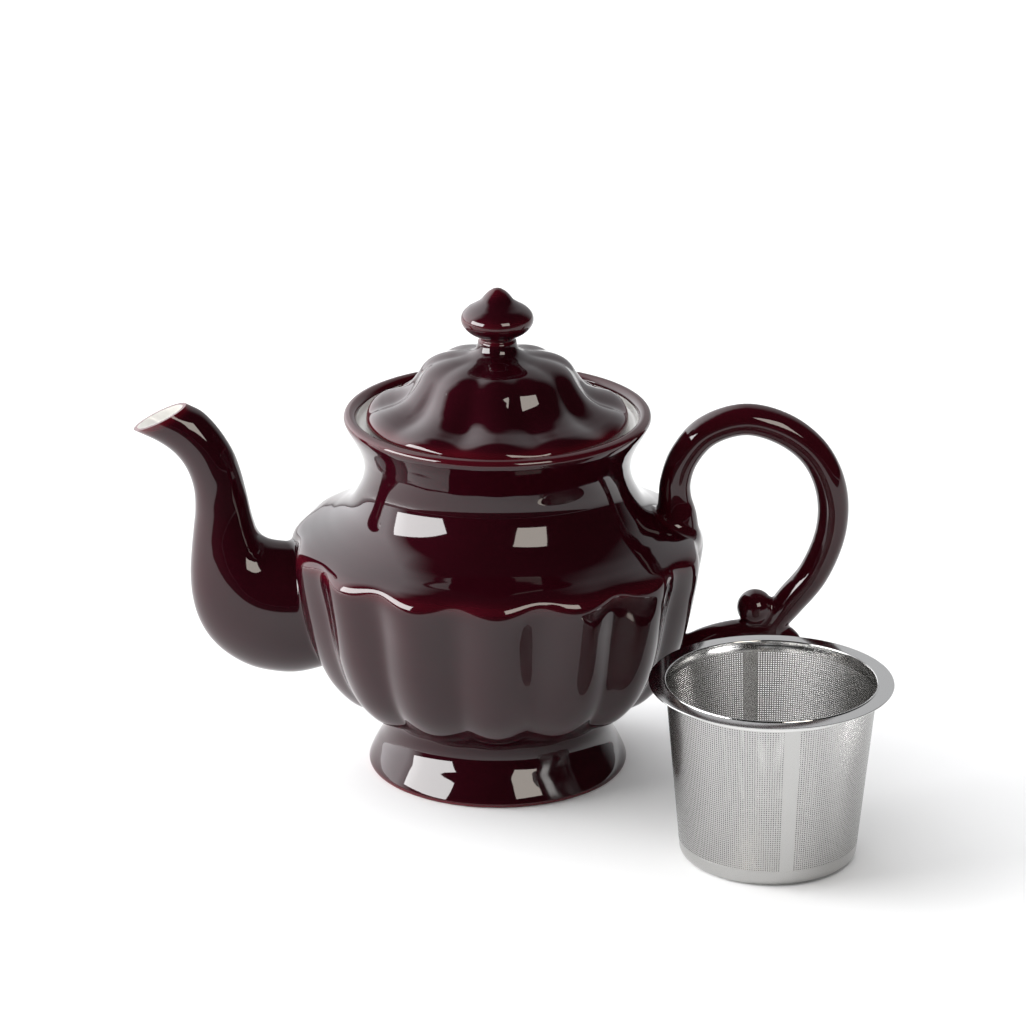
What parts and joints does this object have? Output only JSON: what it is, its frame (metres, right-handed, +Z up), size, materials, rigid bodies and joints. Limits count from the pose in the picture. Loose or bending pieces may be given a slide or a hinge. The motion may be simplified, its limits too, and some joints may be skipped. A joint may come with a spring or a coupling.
{
  "type": "teapot with infuser",
  "caption": "Lobed glazed teapot on a pedestal foot, with swan-neck spout, loop handle, domed lid with a pointed knob, and a lift-out perforated steel infuser basket.",
  "frame": {"origin": "bottom centre of the box round the whole set, on the table", "axes": "+X from the spout to the handle, +Y away from the infuser towards the back of the pot, +Z up"},
  "size_m": [0.2634, 0.1952, 0.1775],
  "materials": {
    "glaze": "glossy oxblood glaze outside, white glaze inside",
    "steel": "bright satin",
    "perforated_steel": "satin, finely perforated"
  },
  "bodies": {
    "pot": {"pot_body": "glaze", "foot": "glaze", "spout": "glaze", "handle_loop": "glaze", "handle_bead": "glaze", "handle_arm": "glaze"},
    "lid": {"lid": "glaze", "lid_knob": "glaze"},
    "infuser": {"infuser_rim": "steel", "infuser_wall": "perforated_steel", "infuser_base": "perforated_steel"}
  },
  "joints": [
    {"name": "lid_lift", "type": "slide", "parent": "pot", "child": "lid", "axis": [0, 0, 1], "range_m": [0, 0.08]},
    {"name": "infuser_lift", "type": "slide", "parent": "pot", "child": "infuser", "axis": [0, 0, 1], "range_m": [0, 0.08]}
  ]
}
